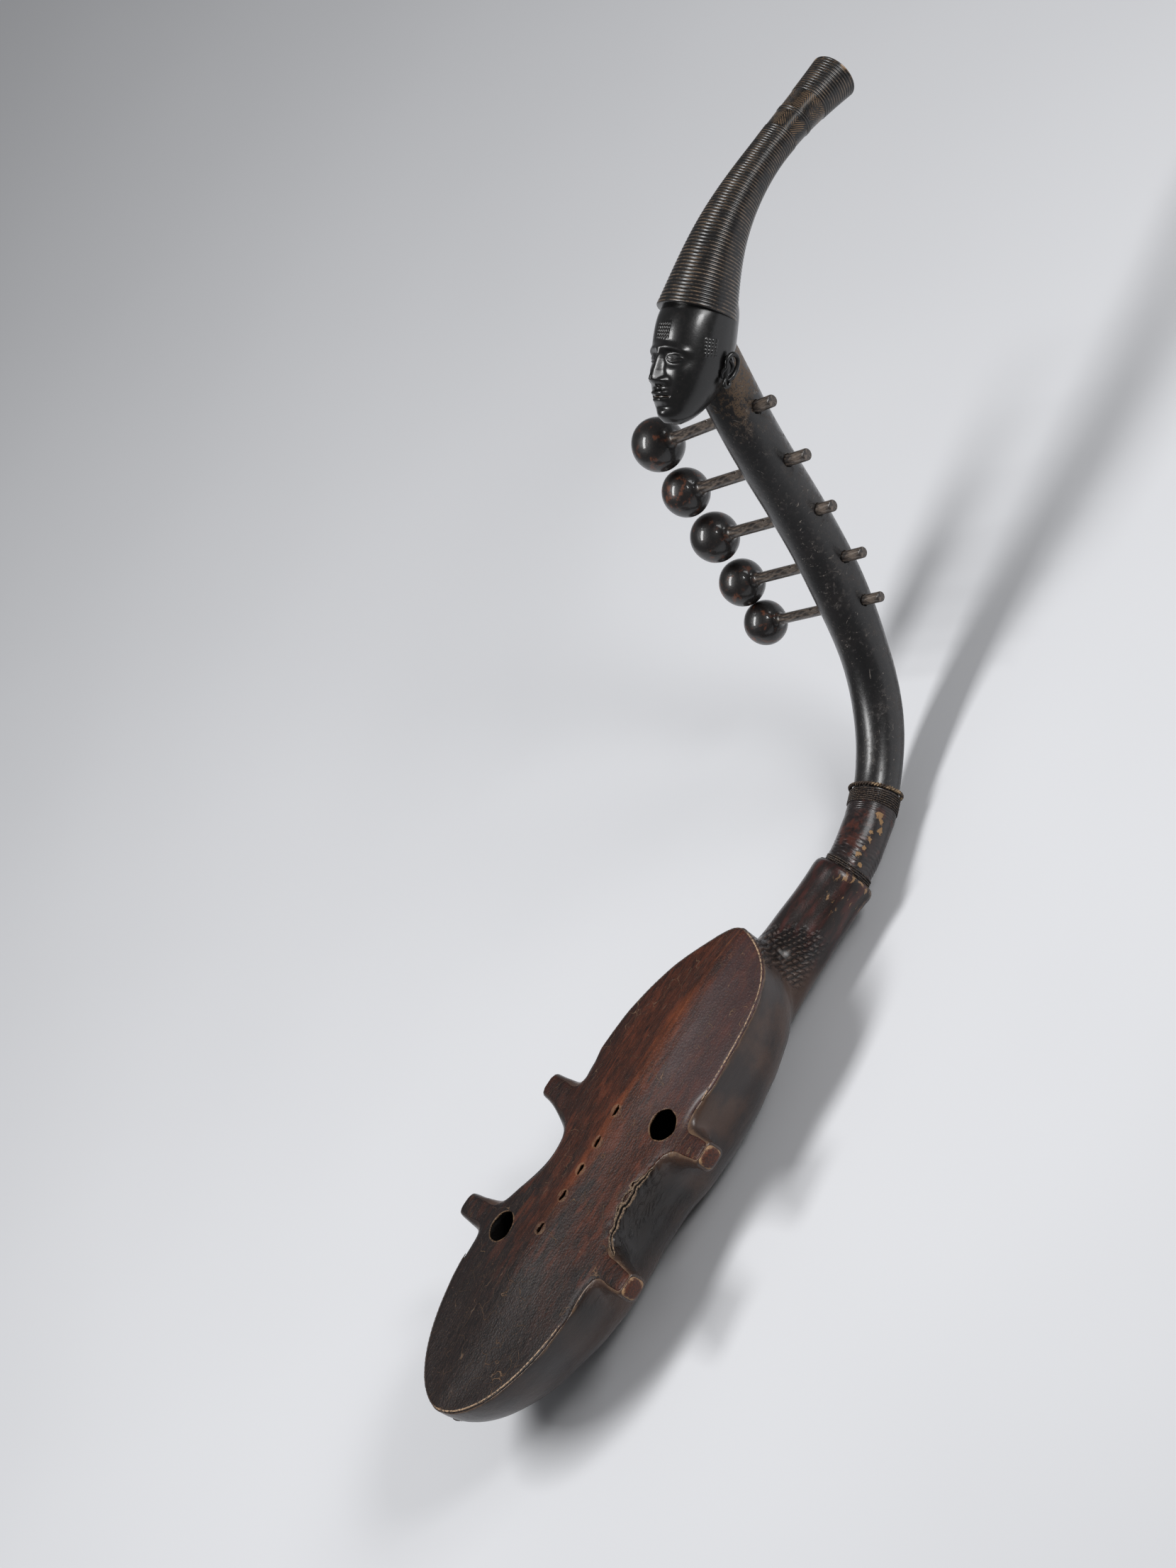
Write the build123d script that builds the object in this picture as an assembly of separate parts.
from build123d import *
import math
import os

# Arched harp of the upper Uele region: a carved wooden bowl with four lugs and a socket, covered with
# hide, and an arched neck with five lateral tuning pegs that ends in a carved head with a long coiffure.
#
# Frame: +X runs along the body from its tail to the neck, +Z points out of the belly, and +Y is the
# side of the peg knobs. The origin is the lowest point of the back lacing, under the deepest part of
# the bowl. All sizes are in millimetres and degrees.

# ---------------------------------------------------------------- body, as seen from above
BODY_FRONT = 126.0          # from the origin to the pointed front of the rim
BODY_TAIL = 194.0           # from the origin back to the tail
UPPER_HALF_WIDTH = 51.0     # half-width of the rim before the waist, at the front
LOWER_HALF_WIDTH = 56.0     # the same at the tail
WAIST_INSET = 14.0          # how far each side draws in at the waist
WAIST_X = -40.0
WAIST_SPREAD = 34.0         # length over which the waist draws in
FRONT_CURVE = (4.0, 1.7)    # exponents of the pointed front outline
TAIL_CURVE = (3.5, 1.8)     # exponents of the rounder tail outline
FRONT_SKEW = 7.7            # the hand-carved rim swings this far to the right behind its front tip
SKEW_BACK = 20.0            # distance of that swing's middle from the tip
WAIST_SKEW = 3.3            # and this far at the waist
FRONT_TRIM = 0.4            # the cross-sections stop this far from the front tip of the rim
TAIL_TRIM = 0.2             # and this far from its tail

# ---------------------------------------------------------------- body, as seen from the side
BOWL_DEPTH = 67.0
FRONT_KEEL = (2.2, 3.6)     # exponents of the back's line toward the front
TAIL_KEEL = (1.8, 2.7)      # and toward the tail
SECTION_POWER = 2.3         # fullness of a cross-section, 2 is an ellipse
SIDE_WALL = 6.0
BACK_WALL = 8.0
END_WALL = 14.0             # solid wood left at the tail
FRONT_WALL = 44.0           # solid wood left behind the front, around the socket

# ---------------------------------------------------------------- hides, lacing and the belly's ridge
HIDE = 1.0                  # thickness of every hide
LACING = 1.5                # how far the back lacing stands out of the hide
LACING_WIDTH = 6.0
REST_FLAT = 0.3             # depth worn off the lacing where the back rests
RIDGE = 7.0                 # height of the belly's ridge over the rim, at full width
WELT = 0.9                  # seam welt outside the rim
WELT_HEIGHT = 1.8
WELT_GAP = 24.0             # the welt stops this far from the lugs
SOUND_HOLE_R = 9.5
SOUND_HOLES = ((7.6, -35.5), (-89.0, 35.5))
SLITS_X = (0.5, -20.0, -37.7, -55.4, -77.7)
SLIT_LENGTH = 7.0
SLIT_WIDTH = 3.0

# ---------------------------------------------------------------- string bar under the ridge
BAR_WIDTH = 9.0
BAR_UNDER = 8.0             # how far it reaches below the rim
BAR_SEAT = 10.0             # length of each end that sits in a notch in the bowl
BAR_HOLE_R = 1.2
FIT = 0.1                   # clearance of pieces that are fitted and don't move
TRIM_FIT = 0.5              # clearance of the welt, threads and cord on the hides that they lie on

# ---------------------------------------------------------------- lugs
LUG_SKEW = 6.2              # the left lugs are carved this far back, and the right ones forward
UPPER_LUG = (0.0, 76.0)     # place along the body, and reach from the middle
LOWER_LUG = (-83.2, 80.5)
LUG_ROOT = (34.0, 24.0)     # width and height where a lug leaves the bowl
LUG_TIP = (13.0, 12.0)
LUG_BARE = 5.0              # length of bare wood outside the hide
LUG_ROOT_Y = 38.0
LUG_CORNER_R = 4.0

# ---------------------------------------------------------------- socket
SOCKET_R = 17.7             # wooden tube, without its hide
SOCKET_BORE_R = 12.6
SOCKET_LENGTH = 60.0        # from the front of the rim to the mouth
SOCKET_DROP = 38.7          # depth of its axis under the rim, at the front of the rim
SOCKET_PITCH = 3.0          # the axis falls this much toward the mouth
SOCKET_DEPTH = 92.0         # depth of the bore from the mouth
MOUTH_LIP = 0.6             # the hide's folded edge at the mouth
MOUTH_LIP_LENGTH = 4.0
LACING_END_GAP = 8.0        # the lacing stops this far from the mouth

# ---------------------------------------------------------------- neck
NECK_YAW = 24.0             # the plane of the neck is turned this much toward the knobs
NECK_FOOT_R = 13.4
NECK_BEND_R = 14.5
NECK_TOP_R = 16.1
FOOT_FALL = 11.3            # the neck's middle line falls by this angle as it leaves the mouth
TOP_RISE = 63.4             # and rises by this angle where it enters the head
KINK_LENGTH = 28.0          # the foot turns from the socket's axis to the neck's plane over this length
BLOCK_START = 130.0         # along the neck, where it starts to thicken to the peg block
BLOCK_RISE = 60.0
TENON_R = SOCKET_BORE_R - FIT
TENON_END_GAP = 1.5
# The neck's middle line from the mouth: distance along its plane, and height over the mouth's centre.
NECK_LINE = ((30.0, -5.0), (60.0, -3.8), (90.0, 6.2), (117.0, 26.0), (142.0, 57.0),
             (161.0, 90.0), (177.0, 127.0), (193.0, 167.0), (218.0, 217.0))

# ---------------------------------------------------------------- collar on the foot of the neck
COLLAR_LENGTH = 54.0
COLLAR_START = 2.0
CORD_R = 1.2
THREAD_R = 0.5
UPPER_TURNS = 6
LOWER_TURNS = 4
TURN_PITCH = 1.6

# ---------------------------------------------------------------- carved head and coiffure
HEAD_YAW = 14.5
HEAD_TILT = 25.0            # the crown leans forward along the neck's arch, 90 would be upright on it
HEAD_OFFSET = 9.0           # the head's centre lies this far in front of the neck's end
# Cross-sections of the head from the chin up: height over its centre, middle forward of the centre,
# half-depth and half-width.
HEAD_SECTIONS = ((-34.0, 13.0, 4.0, 4.5), (-31.0, 11.5, 8.5, 8.5), (-25.0, 9.0, 13.5, 13.0),
                 (-15.0, 6.0, 19.0, 17.5), (-3.0, 3.5, 23.0, 20.3), (10.0, 2.0, 24.5, 21.8),
                 (22.0, 1.0, 24.0, 22.0), (32.0, -1.0, 22.0, 21.0), (40.0, -4.0, 18.0, 17.0))
NOSE = (18.0, 6.5, 7.0)     # length, stand-out and width
NOSE_TOP = 6.0
NOSE_TIP = 0.85             # share of the nose's length at its tip
EYE = (3.0, 9.0, 2.2, 5.0)  # height, place from the middle, half-height and half-width
MOUTH = (-20.0, 2.0, 7.0)   # height, half-height and half-width
EAR = (-1.0, -5.0, 8.5, 5.0, 3.0)   # height, place forward, and the half-sizes up, forward and out
COIFFURE_LINE = ((28.0, 2.0), (73.0, -10.5), (122.5, -39.5), (177.0, -89.0))
BRIM_R = 23.5
SLIM_R = 10.7
TIP_R = 14.6
SLIM_AT = 0.62              # share of the coiffure's length at its slimmest point
SLIM_CURVE = 1.6            # exponent of the taper from the brim
FLARE_CURVE = 2.0           # exponent of the flare to the tip

# ---------------------------------------------------------------- pegs, from the head down
PEG_HEIGHTS = (208.3, 174.7, 142.1, 112.1, 87.4)   # of the peg's axis at the middle of the neck
PEG_PITCH = (9.9, 7.4, 5.7, 5.5, 4.7)              # the knobs hang this much below level
PEG_R = (3.65, 3.6, 3.5, 3.3, 3.1)
KNOB_R = (16.2, 14.7, 15.1, 14.2, 13.4)
KNOB_REACH = (76.5, 74.8, 73.0, 71.7, 67.6)        # from the neck's middle to the knob's centre
TIP_REACH = (29.8, 32.1, 28.0, 31.0, 28.8)         # from the neck's middle to the other end
KNOB_FLATTEN = 0.94
KNOB_FACET_R = 2.5
PEG_CLEARANCE = 0.05
STRING_HOLE_R = 1.0
STRING_HOLE_OUT = 11.0      # from the neck's side to the string hole


RIM_Z = LACING + HIDE + BOWL_DEPTH - REST_FLAT
SLOPE = RIDGE / UPPER_HALF_WIDTH
os.makedirs("parts", exist_ok=True)


# ================================================================ shape of the body
def half_width(x):
    """Half-width of the rim at x: two rounded ends with a waist drawn in between them."""
    middle = (BODY_FRONT - BODY_TAIL) / 2
    half = (BODY_FRONT + BODY_TAIL) / 2
    share = min(abs(x - middle) / half, 1.0)
    p, q = FRONT_CURVE if x > middle else TAIL_CURVE
    toward_tail = 1 / (1 + math.exp(2 * (x - WAIST_X) / WAIST_SPREAD))
    full = UPPER_HALF_WIDTH + (LOWER_HALF_WIDTH - UPPER_HALF_WIDTH) * toward_tail
    waist = WAIST_INSET * math.exp(-((x - WAIST_X) / WAIST_SPREAD) ** 2)
    return full * (1 - share ** p) ** (1 / q) - waist


def skew(x):
    """How far the rim's middle swings to the right at x."""
    back = max(BODY_FRONT - x, 0.0) / SKEW_BACK
    return FRONT_SKEW * back * math.exp(1 - back) + WAIST_SKEW * math.exp(-((x - WAIST_X) / WAIST_SPREAD) ** 2)


def depth(x):
    """Depth of the bowl under the rim at x, deepest over the origin."""
    reach, (p, q) = (BODY_FRONT, FRONT_KEEL) if x > 0 else (BODY_TAIL, TAIL_KEEL)
    return BOWL_DEPTH * (1 - min(abs(x) / reach, 1.0) ** p) ** (1 / q)


def stations(start, stop, count):
    """Places along the body, closer together toward both ends."""
    middle, half = (start + stop) / 2, (stop - start) / 2
    return [middle - half * math.cos(math.pi * i / (count - 1)) for i in range(count)]


def boat(start, stop, count, grow_side, grow_down):
    """Boat-shaped solid under the rim: rounded cross-sections lofted from start to stop.

    A section's rim is skewed, and its keel stays in the middle.
    """
    sections = []
    power = 2 / SECTION_POWER
    for x in stations(start, stop, count):
        w = half_width(x) + grow_side
        d = depth(x) + grow_down
        arc = []
        for i in range(13):
            across_share = math.cos(math.pi * i / 12)
            down = abs(math.sin(math.pi * i / 12)) ** power
            out = math.copysign(abs(across_share) ** power, across_share)
            arc.append((out * w - (1 - down) * skew(x), -down * d))
        plane = Plane(origin=(x, 0, RIM_Z), x_dir=(0, 1, 0), z_dir=(1, 0, 0))
        sections.append(plane * Face(Wire([Spline(*arc), Line(arc[-1], arc[0])])))
    return loft(sections)


def rim_prism(grow, low, high):
    """Upright prism of the rim's outline, grown sideways, between two heights over the rim."""
    places = stations(-BODY_TAIL, BODY_FRONT, 25)[1:-1]
    left = [(x, half_width(x) - skew(x) + grow) for x in places]
    right = [(x, -half_width(x) - skew(x) - grow) for x in reversed(places)]
    ends = (-BODY_TAIL - grow, 0), (BODY_FRONT + grow, 0)
    face = Face(Wire([Spline(ends[0], *left, ends[1]), Spline(ends[1], *right, ends[0])]))
    return Pos(0, 0, RIM_Z + low) * extrude(face, high - low, dir=(0, 0, 1))


def roof(lift):
    """Everything under the belly's ridged surface: its slope is constant, so the ridge follows the width."""
    sections = []
    side = LOWER_LUG[1] + 2 * LUG_TIP[0]
    for x in stations(-BODY_TAIL - HIDE, BODY_FRONT + HIDE, 21):
        inside = min(max(x, -BODY_TAIL + HIDE / 4), BODY_FRONT - HIDE / 4)
        w, swing = half_width(inside), skew(inside)
        line = [(-side, -BAR_UNDER * 3), (-side, lift), (-w - swing, lift), (0, lift + SLOPE * w),
                (w - swing, lift), (side, lift), (side, -BAR_UNDER * 3)]
        plane = Plane(origin=(x, 0, RIM_Z), x_dir=(0, 1, 0), z_dir=(1, 0, 0))
        sections.append(plane * Face(Wire(Polyline(*line, close=True))))
    return loft(sections, ruled=True)


def lug(place, side, grow, cut_back):
    """One lug: rounded cross-sections that shrink quickly from the bowl and then run out to the tip.

    It reaches over the rim by its corners' radius, to be cut off level with it.
    """
    over = LUG_CORNER_R + grow
    x = place[0] - side * LUG_SKEW
    reach = place[1] - cut_back
    sections = []
    for i in range(6):
        t = i / 5
        y = LUG_ROOT_Y + (place[1] - LUG_ROOT_Y) * t
        if y > reach:
            y = reach
        share = ((place[1] - y) / (place[1] - LUG_ROOT_Y)) ** 2
        width = LUG_TIP[0] + (LUG_ROOT[0] - LUG_TIP[0]) * share + 2 * grow
        height = LUG_TIP[1] + (LUG_ROOT[1] - LUG_TIP[1]) * share + grow + over
        plane = Plane(origin=(x, side * y, RIM_Z + over - height / 2), x_dir=(1, 0, 0), z_dir=(0, 1, 0))
        sections.append(plane * RectangleRounded(width, height, over))
    return loft(sections)


def socket_tube(radius, start, stop):
    """Round bar on the socket's axis, between two distances from the front of the rim."""
    tilt = math.radians(SOCKET_PITCH)
    axis = Vector(math.cos(tilt), 0, -math.sin(tilt))
    origin = Vector(BODY_FRONT, 0, RIM_Z - SOCKET_DROP) + axis * start
    return extrude(Plane(origin=origin, x_dir=(0, 1, 0), z_dir=axis) * Circle(radius), stop - start)


LUGS = [(place, side) for place in (UPPER_LUG, LOWER_LUG) for side in (1, -1)]

# ================================================================ resonator bowl
hull = boat(-BODY_TAIL + TAIL_TRIM, BODY_FRONT - FRONT_TRIM, 17, 0, 0)
solid_bowl = hull + socket_tube(SOCKET_R, -FRONT_WALL, SOCKET_LENGTH)
for place, side in LUGS:
    solid_bowl += lug(place, side, 0, 0)
over_rim = Pos(0, 0, RIM_Z + 2 * RIDGE) * Box(3 * BODY_TAIL, 3 * BODY_TAIL, 4 * RIDGE)
solid_bowl -= over_rim

cavity = boat(-BODY_TAIL + END_WALL, BODY_FRONT - FRONT_WALL, 13, -SIDE_WALL, -BACK_WALL)
bar_start = -BODY_TAIL + END_WALL - BAR_SEAT
bar_stop = BODY_FRONT - FRONT_WALL + BAR_SEAT
notch = Pos((bar_start + bar_stop) / 2, 0, RIM_Z) * Box(
    bar_stop - bar_start + 2 * FIT, BAR_WIDTH + 2 * FIT, 2 * (BAR_UNDER + FIT))
bore = socket_tube(SOCKET_BORE_R, SOCKET_LENGTH - SOCKET_DEPTH, SOCKET_LENGTH + 1)
bowl = solid_bowl - cavity - notch - bore

# ================================================================ belly hide and the string bar under it
slab = roof(HIDE) - roof(0)
cover = rim_prism(HIDE, -BAR_UNDER, 4 * RIDGE)
for place, side in LUGS:
    tab = section(lug(place, side, HIDE, LUG_BARE), section_by=Plane.XY.offset(RIM_Z - LUG_TIP[1] / 2))
    cover += Pos(0, 0, -LUG_TIP[1]) * extrude(tab, 4 * RIDGE, dir=(0, 0, 1))
belly = slab & cover
for x, y in SOUND_HOLES:
    belly -= Pos(x, y, RIM_Z) * Cylinder(SOUND_HOLE_R, 6 * RIDGE)
for x in SLITS_X:
    belly -= Pos(x, 0, RIM_Z) * extrude(SlotOverall(SLIT_LENGTH, SLIT_WIDTH), 3 * RIDGE)

bar = Pos((bar_start + bar_stop) / 2, 0, RIM_Z) * Box(bar_stop - bar_start, BAR_WIDTH, 2 * BAR_UNDER)
bar += Pos(0, 0, BAR_UNDER) * bar
bar = bar & roof(-FIT)
for x in SLITS_X:
    bar -= Pos(x, 0, RIM_Z) * Cylinder(BAR_HOLE_R, 8 * BAR_UNDER)

# ================================================================ hide over the sides, back and socket
skin = boat(-BODY_TAIL - HIDE + TAIL_TRIM, BODY_FRONT + HIDE - FRONT_TRIM, 17, HIDE, HIDE)
sleeve = socket_tube(SOCKET_R + HIDE, -FRONT_WALL, SOCKET_LENGTH)
sleeve += socket_tube(SOCKET_R + HIDE + MOUTH_LIP, SOCKET_LENGTH - MOUTH_LIP_LENGTH, SOCKET_LENGTH)
full_skin = skin + sleeve
body_hide = full_skin
for place, side in LUGS:
    body_hide += lug(place, side, HIDE, LUG_BARE)
body_hide = body_hide - over_rim - solid_bowl
body_hide = max(body_hide.solids(), key=lambda part: part.volume)

# ================================================================ seam welt and back lacing
welt = rim_prism(HIDE + TRIM_FIT + WELT, -WELT_HEIGHT / 2, WELT_HEIGHT / 2)
welt -= rim_prism(HIDE + TRIM_FIT, -WELT_HEIGHT, WELT_HEIGHT)
lug_front = UPPER_LUG[0] + LUG_SKEW + WELT_GAP
lug_back = LOWER_LUG[0] - LUG_SKEW - WELT_GAP
welt -= Pos((lug_front + lug_back) / 2, 0, RIM_Z) * Box(lug_front - lug_back, 3 * LOWER_LUG[1], 4 * WELT_HEIGHT)

proud = boat(-BODY_TAIL - HIDE - LACING + TAIL_TRIM, BODY_FRONT + HIDE - FRONT_TRIM, 17,
             HIDE + LACING, HIDE + LACING)
proud += socket_tube(SOCKET_R + HIDE + LACING, -FRONT_WALL, SOCKET_LENGTH - LACING_END_GAP)
keel_top = RIM_Z - SOCKET_DROP
lacing = (proud - full_skin) & (Pos(0, 0, keel_top / 2) * Box(3 * BODY_TAIL, LACING_WIDTH, keel_top))
lacing = max(lacing.solids(), key=lambda part: part.volume)

# ================================================================ neck
yaw = math.radians(NECK_YAW)
ahead = Vector(math.cos(yaw), math.sin(yaw), 0)
sideways = Vector(-math.sin(yaw), math.cos(yaw), 0)
tilt = math.radians(SOCKET_PITCH)
socket_axis = Vector(math.cos(tilt), 0, -math.sin(tilt))
mouth = Vector(BODY_FRONT, 0, RIM_Z - SOCKET_DROP) + socket_axis * SOCKET_LENGTH
line_points = [mouth + ahead * along + Vector(0, 0, up) for along, up in NECK_LINE]
fall = math.radians(FOOT_FALL)
rise = math.radians(TOP_RISE)
leaving = ahead * math.cos(fall) - Vector(0, 0, math.sin(fall))
entering = ahead * math.cos(rise) + Vector(0, 0, math.sin(rise))
neck_line = Spline(mouth, *line_points, tangents=[leaving, entering])
neck_length = neck_line.length


def ease(value):
    """Smooth step from 0 to 1."""
    value = min(max(value, 0.0), 1.0)
    return value * value * (3 - 2 * value)


def neck_radius(along):
    """Radius of the neck at a distance along its middle line: slim foot, then the bend, then the peg block."""
    bend = (NECK_BEND_R - NECK_FOOT_R) * ease((along - COLLAR_LENGTH) / COLLAR_LENGTH)
    block = (NECK_TOP_R - NECK_BEND_R) * ease((along - BLOCK_START) / BLOCK_RISE)
    return NECK_FOOT_R + bend + block


def across(line, along, side, start=None):
    """Plane square to a line at a distance along it; near the start it turns toward a given direction."""
    normal = line.tangent_at(along, position_mode=PositionMode.LENGTH)
    if start:
        share = ease(along / KINK_LENGTH)
        normal = (start * (1 - share) + normal * share).normalized()
    x_dir = side.cross(normal).normalized()
    return Plane(origin=line.position_at(along, position_mode=PositionMode.LENGTH), x_dir=x_dir, z_dir=normal)


def round_loft(line, side, places, radius, start=None):
    """Round bar along a line, with a radius for each distance along it."""
    return loft([across(line, place, side, start) * Circle(radius(place)) for place in places])


def spread(start, stop, count):
    """Even places from start to stop."""
    return [start + (stop - start) * i / (count - 1) for i in range(count)]


def neck_bar(grow):
    """The bare neck from the mouth to the head, grown all round."""
    return round_loft(neck_line, sideways, spread(0, neck_length, 25), lambda along: neck_radius(along) + grow,
                      socket_axis)


neck = neck_bar(0)
neck += socket_tube(TENON_R, SOCKET_LENGTH - SOCKET_DEPTH + TENON_END_GAP, SOCKET_LENGTH + TENON_END_GAP)

# ================================================================ carved head and coiffure
turn = math.radians(HEAD_YAW)
lean = math.radians(HEAD_TILT)
crown = Vector(math.cos(lean) * math.cos(turn), math.cos(lean) * math.sin(turn), math.sin(lean))
face = Vector(-math.sin(lean) * math.cos(turn), -math.sin(lean) * math.sin(turn), math.cos(lean))
left = crown.cross(face)
head_centre = line_points[-1] + face * HEAD_OFFSET - crown * HEAD_OFFSET


def in_head(up, forward, out=0.0):
    """Point given from the head's centre, toward the crown, the face and the left ear."""
    return head_centre + crown * up + face * forward + left * out


head = loft([Plane(origin=in_head(up, forward), x_dir=face, z_dir=crown) * Ellipse(half_depth, half_width)
             for up, forward, half_depth, half_width in HEAD_SECTIONS])


def bead(up, forward, out, half_up, half_forward, half_out):
    """Rounded bead on the head, given by its three half-sizes."""
    shape = scale(Sphere(1), by=(half_forward, half_out, half_up))
    return Plane(origin=in_head(up, forward, out), x_dir=face, z_dir=crown) * shape


def face_front(up):
    """How far forward the face reaches at a height."""
    for low, high in zip(HEAD_SECTIONS, HEAD_SECTIONS[1:]):
        if low[0] <= up <= high[0]:
            share = (up - low[0]) / (high[0] - low[0])
            return (low[1] + low[2]) * (1 - share) + (high[1] + high[2]) * share
    return HEAD_SECTIONS[-1][1]


nose_length, nose_out, nose_width = NOSE
bridge, tip, base = NOSE_TOP, NOSE_TOP - nose_length * NOSE_TIP, NOSE_TOP - nose_length
outline = Polyline((bridge, face_front(bridge) - nose_out / 6), (tip, face_front(tip) + nose_out),
                   (base, face_front(base) - nose_out / 6), (tip, face_front(tip) - nose_out), close=True)
nose = Plane(origin=head_centre, x_dir=crown, z_dir=crown.cross(face)) * Face(Wire(outline))
head += extrude(nose, nose_width / 2, both=True)
for side in (1, -1):
    up, out, half_up, half_out = EYE
    head += bead(up, face_front(up) - half_up, side * out, half_up, 2 * half_up, half_out)
    up, forward, half_up, half_forward, half_out = EAR
    head += bead(up, forward, side * HEAD_SECTIONS[4][3], half_up, half_forward, half_out)
up, half_up, half_out = MOUTH
head += bead(up, face_front(up) - half_up, 0, half_up, 1.5 * half_up, half_out)

coiffure_line = Spline(*[in_head(up, forward) for up, forward in COIFFURE_LINE])
coiffure_length = coiffure_line.length


def coiffure_radius(along):
    """Radius of the coiffure: it slims quickly from the brim and flares again to its tip."""
    share = along / coiffure_length
    if share < SLIM_AT:
        return SLIM_R + (BRIM_R - SLIM_R) * (1 - share / SLIM_AT) ** SLIM_CURVE
    return SLIM_R + (TIP_R - SLIM_R) * ((share - SLIM_AT) / (1 - SLIM_AT)) ** FLARE_CURVE


coiffure = round_loft(coiffure_line, left, spread(0, coiffure_length, 12), coiffure_radius)
neck = neck + head + coiffure

# ================================================================ pegs
pegs = []
for height, pitch, radius, knob_r, knob_reach, tip_reach in zip(
        PEG_HEIGHTS, PEG_PITCH, PEG_R, KNOB_R, KNOB_REACH, TIP_REACH):
    low, high = COLLAR_LENGTH, neck_length
    for _ in range(40):
        middle = (low + high) / 2
        if neck_line.position_at(middle, position_mode=PositionMode.LENGTH).Z < height:
            low = middle
        else:
            high = middle
    centre = neck_line.position_at(low, position_mode=PositionMode.LENGTH)
    hang = math.radians(pitch)
    axis = sideways * math.cos(hang) - Vector(0, 0, math.sin(hang))
    frame = Plane(origin=centre, x_dir=axis.cross(Vector(0, 0, 1)).cross(axis), z_dir=axis)
    shaft = Pos(0, 0, -tip_reach) * extrude(Circle(radius), tip_reach + knob_reach)
    shaft = fillet(shaft.edges().group_by(Axis.Z)[0], radius / 4)
    knob = scale(Sphere(1), by=(knob_r, knob_r, knob_r * KNOB_FLATTEN))
    facet = knob_r * KNOB_FLATTEN * math.sqrt(1 - (KNOB_FACET_R / knob_r) ** 2)
    knob = split(knob, bisect_by=Plane.XY.offset(facet), keep=Keep.BOTTOM)
    peg = shaft + Pos(0, 0, knob_reach) * knob
    hole_at = neck_radius(low) + STRING_HOLE_OUT
    peg -= Pos(0, 0, hole_at) * Rot(0, 90, 0) * Cylinder(STRING_HOLE_R, 4 * radius)
    pegs.append(frame * peg)
    neck -= frame * Cylinder(radius + PEG_CLEARANCE, 4 * NECK_TOP_R)

# ================================================================ collar on the foot of the neck
collar = neck_bar(HIDE) - neck_bar(FIT)
collar = split(collar, bisect_by=across(neck_line, COLLAR_START, sideways, socket_axis), keep=Keep.TOP)
collar = split(collar, bisect_by=across(neck_line, COLLAR_LENGTH, sideways, socket_axis), keep=Keep.BOTTOM)
collar_cord = across(neck_line, COLLAR_LENGTH + CORD_R + TRIM_FIT, sideways, socket_axis) * Torus(
    neck_radius(COLLAR_LENGTH) + CORD_R + TRIM_FIT, CORD_R)


def turns(start, count):
    """Thread wound round the collar, as separate closed turns."""
    rings = []
    for i in range(count):
        place = start + i * TURN_PITCH
        rings.append(across(neck_line, place, sideways, socket_axis) * Torus(
            neck_radius(place) + HIDE + THREAD_R + TRIM_FIT, THREAD_R))
    return Compound(rings)


upper_thread = turns(COLLAR_LENGTH - UPPER_TURNS * TURN_PITCH, UPPER_TURNS)
lower_thread = turns(COLLAR_START + TURN_PITCH, LOWER_TURNS)

# ================================================================ export
nodes = {
    "resonator_bowl": bowl, "string_bar": bar, "belly_hide": belly, "body_hide": body_hide,
    "rim_welt": welt, "back_lacing": lacing, "neck": neck, "collar_hide": collar,
    "collar_cord": collar_cord, "upper_thread": upper_thread, "lower_thread": lower_thread,
}
for number, peg in enumerate(pegs, 1):
    nodes[f"peg_{number}"] = peg
for name, shape in nodes.items():
    export_step(shape, f"parts/{name}.step")
